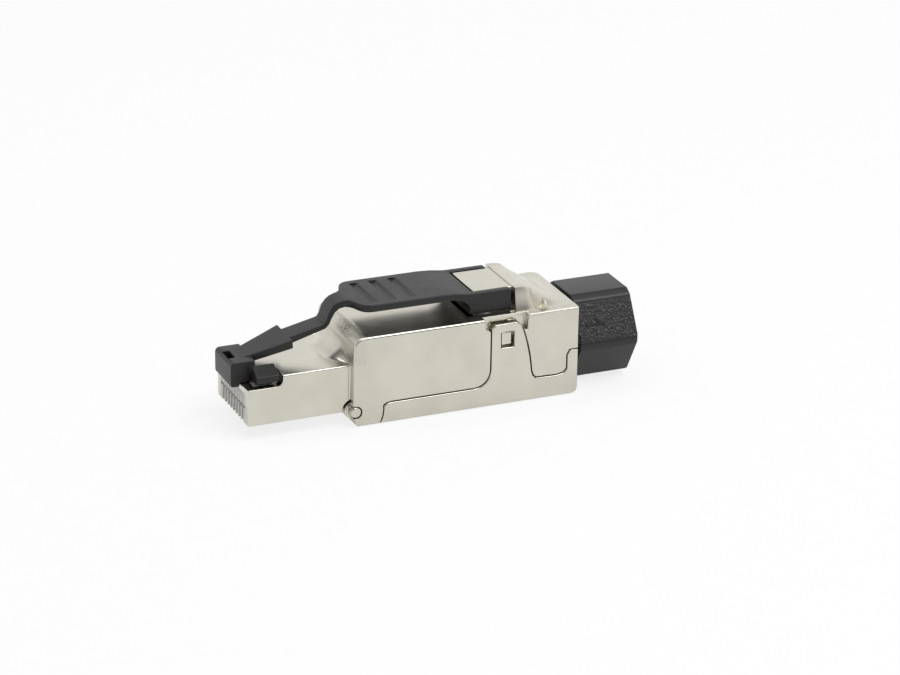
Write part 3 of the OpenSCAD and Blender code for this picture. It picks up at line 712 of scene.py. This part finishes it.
# ---------------------------------------------------------------- studio
def studio():
    """Pale floor, white tent and two softboxes."""
    mesh = bpy.data.meshes.new("floor")
    mesh.from_pydata([(-4, -4, 0), (4, -4, 0), (4, 4, 0), (-4, 4, 0)], [], [(0, 1, 2, 3)])
    floor = linked("floor", mesh)
    n = Net("floor_paper")
    fine = n.noise(300, 2)
    n.finish(n.blend(n.ramp(fine, 0.3, 0.7), (0.84, 0.84, 0.84), (0.87, 0.87, 0.87)), n.ramp(fine, 0, 1, 0.85, 0.95))
    path = n.add("ShaderNodeLightPath")
    glow = n.add("ShaderNodeEmission")
    glow.inputs["Color"].default_value = (1, 1, 1, 1)
    glow.inputs["Strength"].default_value = 1.0
    mix = n.add("ShaderNodeMixShader")
    seen = n.maths("MAXIMUM", path.outputs["Is Camera Ray"], n.maths("MULTIPLY", path.outputs["Is Glossy Ray"], 0.5))
    n.join(n.maths("MULTIPLY", seen, 0.80), mix.inputs[0])
    n.join(n.shader.outputs[0], mix.inputs[1])
    n.join(glow.outputs[0], mix.inputs[2])
    n.join(mix.outputs[0], n.tree.nodes["Material Output"].inputs["Surface"])
    floor.data.materials.append(n.mat)

    # white tent with the dim end of the room on the side that the photograph was taken from
    world = bpy.data.worlds.new("studio")
    scene.world = world
    world.use_nodes = True
    tree = world.node_tree
    tree.nodes.clear()
    link = tree.links.new

    def add(kind, **props):
        node = tree.nodes.new(kind)
        for key, value in props.items():
            setattr(node, key, value)
        return node

    def background(strength, color=(1, 1, 1, 1)):
        node = add("ShaderNodeBackground")
        node.inputs["Color"].default_value = color
        node.inputs["Strength"].default_value = strength
        return node.outputs[0]

    def ramp(value, low, high):
        node = add("ShaderNodeMapRange", interpolation_type="SMOOTHSTEP")
        link(value, node.inputs["Value"])
        node.inputs["From Min"].default_value = low
        node.inputs["From Max"].default_value = high
        return node.outputs["Result"]

    def maths(op, x, y):
        node = add("ShaderNodeMath", operation=op)
        for socket, value in zip(node.inputs, (x, y)):
            if hasattr(value, "links"):
                link(value, socket)
            else:
                socket.default_value = value
        return node.outputs["Value"]

    path = add("ShaderNodeLightPath")
    split = add("ShaderNodeSeparateXYZ")
    link(add("ShaderNodeTexCoord").outputs["Generated"], split.inputs["Vector"])
    ahead = ramp(maths("MULTIPLY", split.outputs["Y"], -1.0), 0.40, 0.78)
    low_down = maths("SUBTRACT", 1.0, ramp(split.outputs["Z"], 0.38, 0.60))
    high_up = maths("MULTIPLY", ramp(split.outputs["Z"], 0.42, 0.80), 0.62)
    dark = maths("MAXIMUM", maths("MULTIPLY", ahead, low_down), high_up)
    room = add("ShaderNodeMixShader")
    link(dark, room.inputs[0])
    link(background(1.0), room.inputs[1])
    link(background(0.06), room.inputs[2])
    bounce = add("ShaderNodeMixShader")
    link(path.outputs["Is Glossy Ray"], bounce.inputs[0])
    link(background(0.55, (0.97, 0.985, 1.0, 1)), bounce.inputs[1])
    link(room.outputs[0], bounce.inputs[2])
    clear = add("ShaderNodeMath", operation="MAXIMUM")
    link(path.outputs["Is Camera Ray"], clear.inputs[0])
    link(path.outputs["Is Transmission Ray"], clear.inputs[1])
    last = add("ShaderNodeMixShader")
    link(clear.outputs[0], last.inputs[0])
    link(bounce.outputs[0], last.inputs[1])
    link(background(1.0), last.inputs[2])
    out = add("ShaderNodeOutputWorld")
    link(last.outputs[0], out.inputs["Surface"])

    def lamp(name, place, size, power):
        data = bpy.data.lights.new(name, "AREA")
        data.shape = "RECTANGLE"
        data.size, data.size_y = size
        data.energy = power
        box = linked(name, data)
        box.location = place
        box.rotation_mode = "QUATERNION"
        box.rotation_quaternion = (-Vector(place)).to_track_quat("-Z", "Y")

    lamp("top_softbox", (0.20, -0.24, 0.52), (0.50, 0.34), 2.0)
    lamp("back_softbox", (-0.10, 0.22, 0.60), (0.4, 0.3), 0.8)


set_camera()
studio()

nickel = nickel_plating()
black = lever_plastic()
nut_black = nut_plastic()
gold = contact_gold()
steel = bright_steel()
carrier_grey = plain_plastic("carrier_grey", (0.56, 0.55, 0.52), (0.64, 0.63, 0.6), 0.4, 0.55)
board_green = plain_plastic("board_green", (0.02, 0.12, 0.05), (0.03, 0.17, 0.07), 0.25, 0.4)
block_black = plain_plastic("block_black", (0.028, 0.028, 0.028), (0.04, 0.04, 0.04), 0.45, 0.6)
manager_white = plain_plastic("manager_white", (0.74, 0.74, 0.7), (0.82, 0.82, 0.78), 0.4, 0.5)
# painted shade: the arrow's darker black stands in for the shade in a sunken groove
painted_groove_shade = plain_plastic("painted_groove_shade", (0.004, 0.004, 0.004), (0.006, 0.006, 0.006), 0.55, 0.7)
seal_rubber = plain_plastic("seal_rubber", (0.02, 0.02, 0.02), (0.03, 0.03, 0.03), 0.6, 0.75)
slip_nylon = plain_plastic("slip_nylon", (0.48, 0.48, 0.46), (0.54, 0.54, 0.52), 0.35, 0.5)

housing_shell()
hump_form()
shoulder_sweep()
hinged_cover()
lever_arm()
gland_hexagon()
turning_mark()
grown("collar_thread", thread_tree(nickel), {"Turns": 4.6, "Pitch": 1.0 * MM})
contact_comb()
grown("comb_lines", comb_lines_tree(carrier_grey), {"Count": RIB_COUNT})

for i in range(1, 9):
    give_finish("contact_%d" % i, gold)
    give_finish("terminal_%d" % i, gold)
give_finish("circuit_board", board_green)
give_finish("terminal_block", block_black)
give_finish("wire_manager", manager_white)
give_finish("shield_spring", steel)
give_finish("clamp_collet", steel)
give_finish("sealing_ring", seal_rubber)
give_finish("slip_ring", slip_nylon)

scene.view_settings.view_transform = "Standard"
